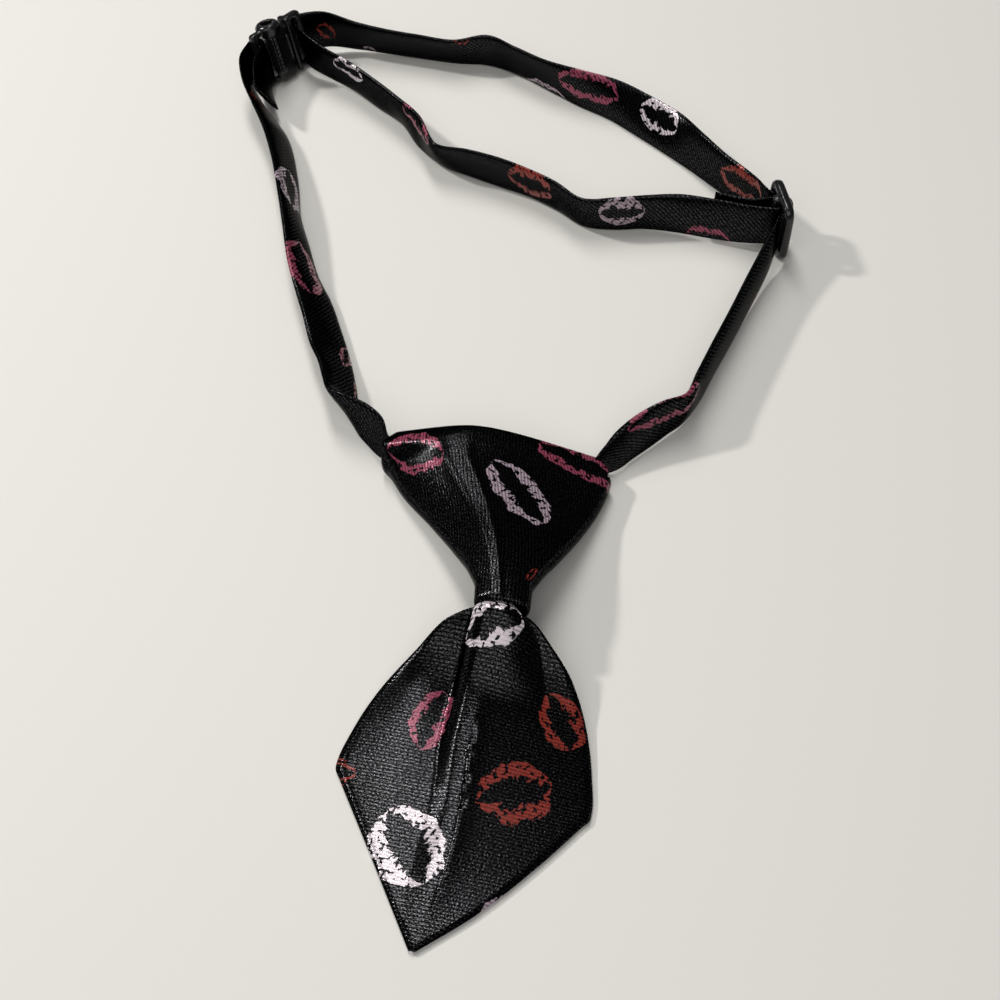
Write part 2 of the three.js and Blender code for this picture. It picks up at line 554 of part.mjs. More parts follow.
function claspLeftGeometry() {
  const { radius, rim, tall, top, hole } = BOSS;
  let solid = leftFrame().add(leftBody());
  solid = solid.add(bossPart(radius, radius - rim, top - tall, top - rim));
  solid = solid.add(bossPart(radius - rim, radius, top - rim, top));
  solid = solid.subtract(bossPart(hole, hole, top - tall, top + rim));
  for (const place of RIB.places) {
    solid = solid.add(solidFrom(box(RIB.wide, RIB.rise * 2, RIB.tall, place, -CLASP.thick / 2, 0)));
  }
  const panel = box(PANEL.wide, PANEL.sink * 2, PANEL.tall, PANEL.at, -CLASP.thick / 2, PANEL.up);
  const tongueLong = TONGUE.reach + TONGUE.root;
  const tongueMid = LEFT_HALF.front - TONGUE.root + tongueLong / 2;
  const tongue = box(tongueLong, TONGUE.thick, 2 * TONGUE.half, tongueMid, 0, 0);
  return geometryFrom(solid.subtract(solidFrom(panel)).add(solidFrom(tongue)));
}

function claspRightGeometry() {
  const { half, front, thick, corner, bodyCorner } = RIGHT_HALF;
  const shape = roundedRectangle(new THREE.Shape(), front, -half, CLASP_BAR_END, half, corner);
  shape.holes.push(strapSlot(CLASP.barReach, -1));
  const frame = solidFrom(mouldedPlate(shape, CLASP.frameThick, EDGE_SOFT));
  const block = roundedRectangle(new THREE.Shape(), front, -half, BODY_BACK, half, bodyCorner);
  const body = solidFrom(mouldedPlate(block, thick, EDGE_SOFT));
  const pocketLong = TONGUE.reach + GAP + TONGUE.root;
  const pocketMid = LEFT_HALF.front + TONGUE.reach + GAP - pocketLong / 2;
  const pocket = box(pocketLong, TONGUE.thick + 2 * GAP, 2 * (TONGUE.half + GAP), pocketMid, 0, 0);
  return geometryFrom(frame.add(body).subtract(solidFrom(pocket)));
}

// Assembly
function named(name, geometry, material) {
  const mesh = new THREE.Mesh(geometry, material);
  mesh.name = name;
  return mesh;
}

function placed(x, y, z, turn, lean, ...meshes) {
  const group = new THREE.Group();
  group.position.set(x, y, z);
  group.rotation.order = 'ZXY';
  group.rotation.z = rad(turn);
  group.rotation.x = rad(-lean);
  group.add(...meshes);
  return group;
}

// The pieces are placed about the knot; the whole is moved so that its box stands centred on the origin
const collar = new THREE.Group();
collar.position.set(-BOX_CENTRE.x, -BOX_CENTRE.y, 0);
collar.add(placed(BLADE.x, BLADE.y, 0, BLADE.turn, 0, named('tie_blade', bladeGeometry(), satin())));
collar.add(placed(KNOT.x, KNOT.y, 0, KNOT.turn, 0, named('tie_knot', knotGeometry(), satin())));
collar.add(named('neck_strap', strapGeometry(), satin()));
collar.add(placed(CLASP.x, CLASP.y, CLASP_MID, CLASP.turn, CLASP.lean,
  named('clasp_left', claspLeftGeometry(), plastic()),
  named('clasp_right', claspRightGeometry(), plastic())));
collar.add(placed(SLIDER.x, SLIDER.y, SLIDER_MID, SLIDER.turn + 90, SLIDER.lean,
  named('strap_slider', sliderGeometry(), plastic())));

export default collar;
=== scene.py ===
# %% [markdown]
# # A small dog's necktie collar
# A printed black satin tie, already knotted, hangs on a narrow satin strap. The strap makes a loop round the
# dog's neck: it closes with a plastic clasp and is set to length with a slider. Here the collar lies on a
# pale table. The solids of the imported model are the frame; this lesson puts cloth, print and gloss on them.

# %% Load the frame
import math
from bisect import bisect_right
import bpy
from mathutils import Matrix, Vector


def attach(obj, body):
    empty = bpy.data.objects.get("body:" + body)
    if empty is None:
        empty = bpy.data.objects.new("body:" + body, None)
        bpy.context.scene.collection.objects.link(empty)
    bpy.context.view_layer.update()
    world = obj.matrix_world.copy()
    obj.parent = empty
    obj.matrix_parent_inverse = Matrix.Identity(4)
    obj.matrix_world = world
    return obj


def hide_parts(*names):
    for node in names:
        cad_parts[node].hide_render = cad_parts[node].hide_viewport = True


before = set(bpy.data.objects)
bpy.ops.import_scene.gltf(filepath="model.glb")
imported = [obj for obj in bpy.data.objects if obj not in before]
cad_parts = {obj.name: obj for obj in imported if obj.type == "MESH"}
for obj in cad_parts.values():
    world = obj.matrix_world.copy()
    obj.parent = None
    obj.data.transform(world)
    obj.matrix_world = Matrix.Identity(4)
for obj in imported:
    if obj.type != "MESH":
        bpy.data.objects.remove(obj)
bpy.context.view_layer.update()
print("solids:", sorted(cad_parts))

# %% [markdown]
# ## Units and tools
# Cloth people measure in millimetres, Blender in metres. The charts below are in millimetres about the knot,
# as they would be read off the table with a ruler, and one function carries a point into the shared frame.

# %% Points in the frame
MM = 0.001
CHART_TO_FRAME = Vector((0.4, 0.7, 0.0))


def in_frame(point):
    return (Vector(point) + CHART_TO_FRAME) * MM


def blend_values(a, b, share):
    return a + (b - a) * share


def turned(x, y, degrees):
    angle = math.radians(degrees)
    return x * math.cos(angle) - y * math.sin(angle), x * math.sin(angle) + y * math.cos(angle)


print("chart origin in the frame, mm:", tuple(in_frame((0, 0, 0)) / MM))

# %% [markdown]
# Folded cloth is easiest to describe by a few sections, each with its widths and heights, and a smooth curve
# between them. A plain spline would overshoot at a sharp corner, so each column eases in only where its
# neighbours rise or fall the same way.

# %% Smooth tables
def eased_slope(before, after):
    return 0.0 if before * after <= 0 else 2 * before * after / (before + after)


def column_slope(table, column, i):
    steps = []
    for a, b in ((i - 1, i), (i, i + 1)):
        if a >= 0 and b < len(table):
            steps.append((table[b][column] - table[a][column]) / (table[b][0] - table[a][0]))
    return steps[0] if len(steps) == 1 else eased_slope(*steps)


def smooth_row(table, at):
    stations = [row[0] for row in table]
    i = max(0, min(len(table) - 2, bisect_right(stations, at) - 1))
    span = stations[i + 1] - stations[i]
    t = max(0.0, min(1.0, (at - stations[i]) / span))
    row = []
    for column in range(1, len(table[0])):
        a, b = table[i][column], table[i + 1][column]
        rise_a = column_slope(table, column, i) * span
        rise_b = column_slope(table, column, i + 1) * span
        row.append(a * (1 + 2 * t) * (1 - t) ** 2 + rise_a * t * (1 - t) ** 2
                   + b * t * t * (3 - 2 * t) - rise_b * t * t * (1 - t))
    return row


def even_steps(start, end, count):
    return [start + (end - start) * i / count for i in range(count + 1)]


print("a row half way:", smooth_row([(0, 0, 5), (2, 1, 5)], 1))

# %% [markdown]
# Every cloth piece starts as a flat grid, like cloth on the cutting table. Each point of the grid is then
# carried to its place, and the grid keeps its flat measures as a UV map in millimetres, so that weave and
# print follow the cloth round every fold.

# %% Cloth from a grid
SEAM_REACH = 0.01


def pick_only(piece):
    bpy.ops.object.select_all(action="DESELECT")
    piece.select_set(True)
    bpy.context.view_layer.objects.active = piece


def flat_grid(name, across, along):
    bpy.ops.object.select_all(action="DESELECT")
    bpy.ops.mesh.primitive_grid_add(x_subdivisions=across, y_subdivisions=along, size=2, calc_uvs=True)
    piece = bpy.context.object
    piece.name = name
    piece.data.name = name
    return piece


def lay_grid(piece, points, chart):
    mesh = piece.data
    for vertex, point in zip(mesh.vertices, points):
        vertex.co = in_frame(point)
    cloth_map = mesh.uv_layers[0]
    cloth_map.name = "cloth"
    for loop in mesh.loops:
        cloth_map.data[loop.index].uv = chart[loop.vertex_index]
    mesh.update()


def sew_seams(piece):
    pick_only(piece)
    bpy.ops.object.mode_set(mode="EDIT")
    bpy.ops.mesh.select_all(action="SELECT")
    bpy.ops.mesh.remove_doubles(threshold=SEAM_REACH * MM)
    bpy.ops.mesh.normals_make_consistent(inside=False)
    bpy.ops.object.mode_set(mode="OBJECT")
    bpy.ops.object.shade_smooth()


def thicken(piece, wall_mm):
    wall = piece.modifiers.new("wall", "SOLIDIFY")
    wall.thickness = wall_mm * MM
    wall.offset = -1.0
    wall.use_rim = True
    wall.material_offset = 1
    wall.material_offset_rim = 0
    pick_only(piece)
    bpy.ops.object.modifier_apply(modifier=wall.name)


def triangle_count(piece):
    return sum(len(face.vertices) - 2 for face in piece.data.polygons)


print("seams are sewn within, mm:", SEAM_REACH)

# %% [markdown]
# ## The strap
# The neck strap is a strip of the same satin, folded into a soft flat tube about 10 mm wide. Nearly all of it
# stands on edge. It could be a curve with a flat bevel, but a bevel can't lean and roll as cloth does, so the
# strap is charted by its two edges: where its lower edge, the foot, stands, and how far its upper edge, the
# head, leans over it. Smooth curves run through the feet and the heads, and a puffed section joins them.

# %% Strap rows
STRAP_WIDTH = 10.0
THIN = 1.1
PUFFED = 2.0
BAR_RADIUS = 1.0
BAR_CLEAR = 0.3
INNER_TURN = BAR_RADIUS + BAR_CLEAR + THIN / 2
OUTER_TURN = INNER_TURN + BAR_CLEAR + THIN


def run_rows(chart, thin_first, thin_last):
    rows = []
    for i, (x, y, lift, over_x, over_y, width) in enumerate(chart):
        rise = math.sqrt(width ** 2 - over_x ** 2 - over_y ** 2)
        foot = Vector((x, y, lift))
        thin = i < thin_first or i >= len(chart) - thin_last
        rows.append((foot, foot + Vector((over_x, over_y, rise)), THIN if thin else PUFFED))
    return rows


def leaning_bar(x, y, z, lean, lean_to, bulge_to):
    lean_x, lean_y = turned(math.sin(math.radians(lean)), 0, lean_to)
    along = Vector((lean_x, lean_y, math.cos(math.radians(lean))))
    bulge = Vector((*turned(1, 0, bulge_to), 0))
    bulge = (bulge - along * bulge.dot(along)).normalized()
    return Vector((x, y, z)), along, bulge


def turn_rows(bar, radius, start, end, steps):
    middle, along, bulge = bar
    side = along.cross(bulge)
    rows = []
    for degrees in even_steps(start, end, steps):
        angle = math.radians(degrees)
        point = middle + (bulge * math.cos(angle) + side * math.sin(angle)) * radius
        rows.append((point - along * STRAP_WIDTH / 2, point + along * STRAP_WIDTH / 2, THIN))
    return rows


print("strap turns round a bar at, mm:", INNER_TURN, OUTER_TURN)

# %% [markdown]
# The clasp leans a little and the slider stands upright, and the strap turns round a bar in each. A bar is
# known by its middle, the way it leans and the way the turn bulges.

# %% Bars of the clasp and the slider
CLASP_TURN = 48
CLASP_LEAN = 16
CLASP_REACH = 6.7
CLASP_AT = (-53.9, 105.6, 7.12)
SLIDER_TURN = 8
SLIDER_LEAN = 0
SLIDER_AT = (59.5, 44.0, 7.3)
SLIDER_SET = 1.2


def clasp_bar(reach, bulge_to):
    dx, dy = turned(reach, 0, CLASP_TURN)
    x, y, z = CLASP_AT
    return leaning_bar(x + dx, y + dy, z, CLASP_LEAN, CLASP_TURN + 90, bulge_to)


left_bar = clasp_bar(-CLASP_REACH, CLASP_TURN)
right_bar = clasp_bar(CLASP_REACH, CLASP_TURN + 180)
set_x, set_y = turned(-SLIDER_SET, 0, SLIDER_TURN)
slider_bar = leaning_bar(SLIDER_AT[0] + set_x, SLIDER_AT[1] + set_y, SLIDER_AT[2],
                         SLIDER_LEAN, SLIDER_TURN + 180, SLIDER_TURN)
print("bars stand at", [tuple(round(c, 1) for c in bar[0]) for bar in (left_bar, right_bar, slider_bar)])

# %% [markdown]
# The charts follow the strap from the flap sewn at the clasp, down the left side, into the knot, up the right
# side to the slider, round to the clasp and back. Each row is one place where the strap bends or leans anew.

# %% Strap charts: foot x, y, lift, head over x, y, width
LEFT_FLAP = [
    (-53.6, 88, 2.6, -4.4, -2.6, 10),
    (-55.7, 95, 2.6, -3.2, -1.2, 10),
]
LEFT_RUN = [
    (-60, 96.6, 2, -2.4, -0.4, 10),
    (-57.8, 91.6, 1.2, -3.6, -1.8, 10),
    (-53.8, 85.4, 0.7, -5, -2.2, 10),
    (-50.2, 77.6, 0.5, -5.5, -1.7, 10),
    (-47.3, 64.7, 0.5, -4.9, -0.8, 10),
    (-45.6, 51.6, 0.5, -3.8, -0.7, 10),
    (-43, 42.4, 0.6, -4.6, -1.4, 10),
    (-40.1, 32.4, 0.7, -5.6, -2.1, 10),
    (-36.8, 24.8, 0.8, -6.7, -2.6, 10),
    (-34.3, 16.9, 0.8, -7, -2.2, 10),
    (-32.2, 9.8, 0.8, -7.3, -2, 10),
    (-30.6, 2.8, 0.8, -6.5, -1.4, 10),
    (-29.8, -2.2, 0.8, -6, -1.2, 10),
]
ROLL_RUN = [
    (-30, -6, 0.8, -4.6, -1, 10),
    (-29.6, -9.2, 0.8, -1.6, -0.6, 10),
    (-28.6, -12, 0.9, 1.8, 0, 9.6),
    (-26.8, -14.8, 1, 3.2, 0.2, 9),
]
RIGHT_RUN = [
    (21.7, -20.5, 0.6, -3.1, 1.1, 6),
    (24.7, -17.8, 0.6, -3.3, 1.4, 7.5),
    (28, -14.9, 0.5, -2.6, 1.2, 9),
    (31.6, -11.6, 0.5, -1.2, 0.3, 9.8),
    (34.7, -8.7, 0.4, 0.7, -0.5, 10),
    (38.6, -2.9, 0.3, -0.3, 0.2, 10),
    (42.2, 4.5, 0.3, -0.5, 0.2, 10),
    (46.7, 13.5, 0.3, -0.6, 0.5, 10),
    (51.5, 23.4, 0.5, -0.9, 0.4, 10),
    (55.6, 32, 1.1, -0.8, 0.3, 10),
    (58, 37.4, 2, -0.6, 0, 10),
]
OUTER_RUN = [
    (56.8, 49.2, 2.1, -0.3, 0, 10),
    (55.2, 52, 1.8, 0, 0.2, 10),
    (52.8, 55.6, 1.2, 0.3, 0.4, 10),
    (48.5, 61.5, 0.6, 0.7, 0.6, 10),
    (43, 68.5, 0.3, 1.9, 1.5, 10),
    (37, 75, 0.3, 3.6, 3.5, 10),
    (31, 81.3, 0.3, 3.1, 3.1, 10),
    (24.8, 87.6, 0.2, 1.9, 2.2, 10),
    (17.8, 92.7, 0.2, 0.3, 0.4, 10),
    (11, 98.7, 0.2, -1.4, -1.5, 10),
    (4, 104.6, 0.2, -1.5, -2.1, 10),
    (-3.6, 108.6, 0.2, -0.5, -1.7, 10),
    (-11.7, 109.4, 0.3, -0.5, -3.8, 10),
    (-20, 111.2, 0.3, -0.8, -3.6, 10),
    (-28, 113.2, 0.3, -0.8, -3.4, 10),
    (-36, 114.4, 0.8, -0.4, -2.6, 10),
    (-43.6, 114, 1.8, -0.6, 0.2, 10),
]
INNER_RUN = [
    (-46.4, 104.8, 1.8, -0.8, -0.4, 10),
    (-42.4, 102.4, 1.2, -0.6, -1.8, 10),
    (-36.3, 98.2, 0.6, -0.8, -2, 10),
    (-30, 91.9, 0.3, -1.4, -1.3, 10),
    (-23.8, 85.6, 0.2, -2, -1.3, 10),
    (-19.4, 76.6, 0.2, -0.4, -0.2, 10),
    (-13.6, 70.4, 0.2, -2.4, -3.2, 10),
    (-7, 66.5, 0.2, -1.3, -2.2, 10),
    (-0.4, 63, 0.2, -0.9, -1.7, 10),
    (6.2, 59.6, 0.2, -1.2, -1.9, 10),
    (12.2, 55.1, 0.2, -1.4, -1.6, 10),
    (17.8, 50, 0.2, -1, -2.2, 10),
    (24.2, 48.8, 0.2, 0, -1, 10),
    (31, 48.9, 0.3, 0, -0.5, 10),
    (38, 47.4, 0.6, 0.2, 1.1, 10),
    (45, 45, 1, 0.5, 1.6, 10),
    (52, 42.9, 1.6, 0.7, 0.8, 10),
]
INNER_FLAP = [
    (52, 44.9, 1.9, 0.7, 0.8, 10),
    (45.2, 46.9, 1.4, 0.5, 1.6, 10),
]

print("charted places:", sum(map(len, (LEFT_RUN, ROLL_RUN, RIGHT_RUN, OUTER_RUN, INNER_RUN))))

# %% [markdown]
# Inside the knot nobody sees the strap, but it has to pass from one mouth of the sleeve to the other, a
# little squeezed. All the rows are then joined in order, with the turns round the bars between them.

# %% Strap inside the knot's sleeve
KNOT_AT = (-1.5, -20.0)
KNOT_TURN = -6
SLEEVE_HALF = 22.8
SLEEVE_FOOT = 0.9
MOUTH_SLANT = 2.0
SLEEVE_ROWS = [(-1, 6.4), (-0.9, 6.6), (-0.5, 6.6), (0, 6.6), (0.5, 5.4), (0.85, 3.6)]


def sleeve_rows():
    rows = []
    for share, rise in SLEEVE_ROWS:
        low_x, low_y = turned(share * SLEEVE_HALF, 0, KNOT_TURN)
        high_x, high_y = turned(share * (SLEEVE_HALF - MOUTH_SLANT), 0, KNOT_TURN)
        foot = Vector((KNOT_AT[0] + low_x, KNOT_AT[1] + low_y, SLEEVE_FOOT))
        head = Vector((KNOT_AT[0] + high_x, KNOT_AT[1] + high_y, SLEEVE_FOOT + rise))
        rows.append((foot, head, THIN))
    return rows


strap_rows = [
    *run_rows(LEFT_FLAP, 2, 0),
    *turn_rows(left_bar, INNER_TURN, -43, 137, 6),
    *run_rows(LEFT_RUN, 3, 0),
    *run_rows(ROLL_RUN, 0, 1),
    *sleeve_rows(),
    *run_rows(RIGHT_RUN, 1, 1),
    *turn_rows(slider_bar, OUTER_TURN, -88, 88, 6),
    *run_rows(OUTER_RUN, 2, 1),
    *turn_rows(right_bar, INNER_TURN, -114, 6, 4),
    *run_rows(INNER_RUN, 1, 2),
    *turn_rows(slider_bar, INNER_TURN, -95, 95, 6),
    *run_rows(INNER_FLAP, 0, 2),
]
print("strap rows:", len(strap_rows))

# %% [markdown]
# A curve that passes through charted points without loops is a centripetal one: it slows down where the
# points lie close together. Both edges of the strap are such curves.

# %% Edge curves and strap section
STRAP_STEP = 0.8
STRAP_AROUND = 24
SECTION_SQUARE = 0.88


def knot_span(a, b):
    return max(1e-4, (b - a).length) ** 0.5


def curve_point(points, i, t):
    p1, p2 = points[i], points[i + 1]
    p0 = points[i - 1] if i > 0 else p1 * 2 - p2
    p3 = points[i + 2] if i + 2 < len(points) else p2 * 2 - p1
    d0, d1, d2 = knot_span(p0, p1), knot_span(p1, p2), knot_span(p2, p3)
    m1 = ((p1 - p0) / d0 - (p2 - p0) / (d0 + d1) + (p2 - p1) / d1) * d1
    m2 = ((p2 - p1) / d1 - (p3 - p1) / (d1 + d2) + (p3 - p2) / d2) * d1
    return (p1 * ((1 + 2 * t) * (1 - t) ** 2) + m1 * (t * (1 - t) ** 2)
            + p2 * (t * t * (3 - 2 * t)) - m2 * (t * t * (1 - t)))


def strap_stations():
    feet = [row[0] for row in strap_rows]
    heads = [row[1] for row in strap_rows]
    stations = []
    for i in range(len(strap_rows) - 1):
        reach = max((feet[i + 1] - feet[i]).length, (heads[i + 1] - heads[i]).length)
        steps = max(2, math.ceil(reach / STRAP_STEP))
        for k in range(steps if i < len(strap_rows) - 2 else steps + 1):
            t = k / steps
            ease = t * t * (3 - 2 * t)
            thick = blend_values(strap_rows[i][2], strap_rows[i + 1][2], ease)
            stations.append((curve_point(feet, i, t), curve_point(heads, i, t), thick))
    return stations


def power(value, exponent):
    return math.copysign(abs(value) ** exponent, value)


def section_shares():
    shares = []
    for k in range(STRAP_AROUND + 1):
        angle = 2 * math.pi * k / STRAP_AROUND
        shares.append((0.5 - 0.5 * power(math.cos(angle), SECTION_SQUARE),
                       0.5 * power(math.sin(angle), SECTION_SQUARE)))
    return shares


print("points round the strap:", len(section_shares()))

# %% Make the strap
stations = strap_stations()
shares = section_shares()
strap_points = []
strap_chart = []
strap_run = 0.0
for i, (foot, head, thick) in enumerate(stations):
    before = stations[max(i - 1, 0)]
    after = stations[min(i + 1, len(stations) - 1)]
    along = (after[0] - before[0]) + (after[1] - before[1])
    across = head - foot
    out = along.cross(across).normalized()
    if i:
        strap_run += ((foot + head) - (before[0] + before[1])).length / 2
    for k, (share, side) in enumerate(shares):
        strap_points.append(foot + across * share + out * side * thick)
        around = share if 2 * k <= STRAP_AROUND else 2 - share
        strap_chart.append((strap_run, around * STRAP_WIDTH))

strap = flat_grid("satin_strap", STRAP_AROUND, len(stations) - 1)
lay_grid(strap, strap_points, strap_chart)
sew_seams(strap)
print("strap length, mm:", round(strap_run, 1), "triangles:", triangle_count(strap))

# %% Close the strap's two cut ends
pick_only(strap)
bpy.ops.object.mode_set(mode="EDIT")
bpy.ops.mesh.select_all(action="DESELECT")
bpy.ops.mesh.select_mode(type="EDGE")
bpy.ops.mesh.select_non_manifold(extend=False, use_wire=False, use_multi_face=False,
                                 use_non_contiguous=False, use_verts=False)
bpy.ops.mesh.edge_face_add()
bpy.ops.mesh.select_all(action="SELECT")
bpy.ops.mesh.normals_make_consistent(inside=False)
bpy.ops.mesh.select_mode(type="VERT")
bpy.ops.object.mode_set(mode="OBJECT")
print("strap closed, faces:", len(strap.data.polygons))

# %% [markdown]
# ## The knot
# The knot is a wide piece of satin wrapped round the strap at its top, like a sleeve, and gathered to a
# narrow neck below. A cloth simulation could gather it, but it gives little say over where each fold falls,
# so each section is charted: it runs from the left fold over the front to the right fold and back
# underneath. The sides of the top sections stay open: there the strap comes out.

# %% Knot sections: run, left, right, crest place, crest, left flank, right flank, floor, roundness
KNOT_WALL = 0.6
SLEEVE_BACK = 1.9
KNOT_SECTIONS = [
    (0, -19.4, 18.8, -4, 10.4, 6.8, 3.8, 0, 0),
    (0.9, -20.4, 19.8, -4.6, 11.4, 7.4, 4.6, 0, 0),
    (3.9, -22.8, 22.3, -6, 11.8, 7.2, 4.6, 0, 0),
    (6.9, -20.4, 21.8, -6.2, 11.9, 5.2, 4.4, 0, 0),
    (11.3, -17.5, 20.6, -4.8, 12, 4.2, 4.4, 0.6, 0.1),
    (19.6, -10.9, 17.6, -1.2, 12.6, 5.6, 6.4, 3, 0.1),
    (27.9, -5.2, 14, 1.4, 13.6, 8.8, 9.7, 6.2, 0.3),
    (33.7, -1.7, 11.2, 3.1, 14.1, 11.2, 11.8, 8.2, 0.6),
    (37.4, -0.2, 9.9, 3.9, 14.2, 11.8, 12.2, 8.6, 0.85),
    (40.4, 0, 9.9, 4.2, 14.2, 11.9, 12.2, 8.6, 0.9),
    (41.2, 0.2, 9.7, 4.2, 13.9, 11.7, 12, 8.7, 0.9),
    (41.6, 0.6, 9.3, 4.2, 13.5, 11.5, 11.7, 9, 0.9),
]
KNOT_ROWS = 96
KNOT_FRONT = 64
KNOT_SIDE = 6
FOLD_ROUND = 0.8
MOUTH = (0.7, 5.4)
print("knot sections:", len(KNOT_SECTIONS))

# %% Knot folds: run, place, height, reach of the main fold, then place and height of the second
KNOT_FOLDS = [
    (0, -9.6, 0, 1.6, -5, 0),
    (3, -9.4, 0.1, 1.6, -5.2, 0.1),
    (8, -9, 0.3, 1.5, -5, 0.3),
    (12, -7, 0.4, 1.4, -3.4, 0.4),
    (19.5, -3.2, 0.4, 1.3, -0.2, 0.4),
    (25.8, -0.6, 0.4, 1.1, 1.8, 0.4),
    (32.2, 1.6, 0.3, 0.9, 3.3, 0.3),
    (41.6, 3.3, 0.2, 0.7, 4.7, 0.2),
]
ROOF_ROUND = 0.3
SECOND_REACH = 0.8


def roof_shape(share, tight):
    s = min(1.0, abs(share))
    slope = 1.0 - (math.hypot(s, ROOF_ROUND) - ROOF_ROUND) / (math.hypot(1.0, ROOF_ROUND) - ROOF_ROUND)
    return blend_values(slope, math.sqrt(1 - s * s), tight)


def crest_bump(x, place, reach):
    return math.exp(-((x - place) / reach) ** 2)


def knot_front_height(x, row, folds):
    left, right, at, crest, left_flank, right_flank, _, tight = row
    reach = at - left if x < at else right - at
    flank = left_flank if x < at else right_flank
    height = flank + (crest - flank) * roof_shape((x - at) / reach, tight)
    main_at, main_high, main_reach, next_at, next_high = folds
    height += main_high * crest_bump(x, main_at, main_reach)
    return height + next_high * crest_bump(x, next_at, main_reach * SECOND_REACH)


def side_fold(inner, outward, floor, high):
    fold = []
    for k in range(1, KNOT_SIDE):
        angle = math.pi * k / KNOT_SIDE
        share = 0.5 + outward * 0.5 * math.cos(angle)
        fold.append((inner + outward * FOLD_ROUND * math.sin(angle), blend_values(floor, high, share)))
    return fold


def knot_ring(run):
    row = smooth_row(KNOT_SECTIONS, run)
    folds = smooth_row(KNOT_FOLDS, run)
    left, right, floor = row[0] + FOLD_ROUND, row[1] - FOLD_ROUND, row[6]
    front = [(x, knot_front_height(x, row, folds)) for x in even_steps(left, right, KNOT_FRONT)]
    back = [(x, floor) for x in even_steps(right, left, KNOT_FRONT)]
    right_fold = side_fold(right, 1, floor, front[-1][1])
    left_fold = side_fold(left, -1, floor, front[0][1])
    return [*front, *right_fold, *back, *left_fold, front[0]]


def girth_from(ring, start):
    girth = [0.0]
    for a, b in zip(ring, ring[1:]):
        girth.append(girth[-1] + math.dist(a, b))
    return [g - girth[start] for g in girth]


print("points round the knot:", len(knot_ring(0.0)))

# %% [markdown]
# The first row closes the sleeve along its back: front and back layer meet half way up in a seam. The chart
# goes on past the edge there, so that the weave runs on down the back.

# %% Make the knot
def seam_height(x):
    return knot_front_height(x, smooth_row(KNOT_SECTIONS, 0.0), smooth_row(KNOT_FOLDS, 0.0)) / 2


knot_runs = even_steps(0.0, KNOT_SECTIONS[-1][0], KNOT_ROWS)
knot_points = []
knot_chart = []
for j, run in enumerate([0.0, *knot_runs]):
    ring = knot_ring(run)
    girth = girth_from(ring, KNOT_FRONT // 2)
    for k, (x, z) in enumerate(ring):
        height = seam_height(x) if j == 0 else z
        dx, dy = turned(x, SLEEVE_BACK - run, KNOT_TURN)
        knot_points.append((KNOT_AT[0] + dx, KNOT_AT[1] + dy, height))
        knot_chart.append((girth[k], run - abs(z - height)))

knot = flat_grid("satin_knot", len(knot_ring(0.0)) - 1, len(knot_runs))
lay_grid(knot, knot_points, knot_chart)
sew_seams(knot)
print("knot triangles before its wall:", triangle_count(knot))

# %% [markdown]
# A sleeve needs its two mouths. They could be left out of the grid, but it is simpler to make the whole wrap
# and delete the faces at its sides, as one would cut a seam open. A Solidify modifier then gives the wall.

# %% Open the sleeve's mouths and give the knot its wall
def in_mouth(face):
    centre = face.center / MM - CHART_TO_FRAME
    x, y = turned(centre.x - KNOT_AT[0], centre.y - KNOT_AT[1], -KNOT_TURN)
    run = SLEEVE_BACK - y
    row = smooth_row(KNOT_SECTIONS, run)
    at_side = x < row[0] + FOLD_ROUND or x > row[1] - FOLD_ROUND
    return MOUTH[0] < run < MOUTH[1] and at_side


def delete_faces(piece, test):
    pick_only(piece)
    bpy.ops.object.mode_set(mode="EDIT")
    bpy.ops.mesh.select_mode(type="FACE")
    bpy.ops.mesh.select_all(action="DESELECT")
    bpy.ops.object.mode_set(mode="OBJECT")
    for face in piece.data.polygons:
        face.select = test(face)
    bpy.ops.object.mode_set(mode="EDIT")
    bpy.ops.mesh.delete(type="FACE")
    bpy.ops.mesh.select_mode(type="VERT")
    bpy.ops.object.mode_set(mode="OBJECT")


delete_faces(knot, in_mouth)
thicken(knot, KNOT_WALL)
print("knot triangles:", triangle_count(knot))

# %% [markdown]
# ## The blade
# Below the knot the tie opens into its blade: a pointed double layer of satin, pinched into one deep pleat at
# the neck that fades out towards the tip. The wings on both sides lie on the table. A flat cut could be
# pinched by simulation, but charted sections put the pleat's crest, and the light on it, where it belongs.

# %% Blade sections: run, left, right, base, fold height, fold place, left foot, right foot, roundness
BLADE_AT = (-0.7, -54.0)
BLADE_TURN = -12.6
BLADE_WALL = 1.2
BLADE_SECTIONS = [
    (-1, 2.8, 3.6, 10, 1.4, 0.4, 2.9, 2.9, 1),
    (5.6, 2.6, 4.6, 10, 1.8, 0.9, 3.1, 3.4, 1),
    (6.4, 4.2, 6.4, 9.9, 2.3, 1.1, 4.4, 4.4, 0.95),
    (7.2, 5.7, 7.8, 9.5, 2.9, 1.2, 4.9, 5.2, 0.9),
    (8.6, 8.4, 9.9, 7.9, 3.9, 1.2, 5.3, 6.8, 0.8),
    (13, 12.3, 15.1, 3.9, 4.6, 1, 5.4, 9, 0.6),
    (20.2, 16.9, 19.2, 0.9, 3.5, 0.8, 5.4, 11, 0.35),
    (28, 19.4, 21.6, 0.2, 2.5, 0.8, 5.2, 11.5, 0.2),
    (35, 20.5, 22.9, 0, 1.6, 1.5, 5, 11.5, 0.1),
    (36.2, 20.4, 22.9, 0, 1.5, 1.6, 5, 11.5, 0.1),
    (38, 19.2, 21.7, 0, 1.3, 1.8, 5, 11, 0),
    (46, 13.4, 16.3, 0, 0.7, 2.1, 5.6, 9, 0),
    (56, 6.2, 8.5, 0, 0.2, 1.5, 5, 5, 0),
    (64, 0.5, 0.5, 0, 0, 0, 0.2, 0.2, 0),
]

print("blade sections:", len(BLADE_SECTIONS))

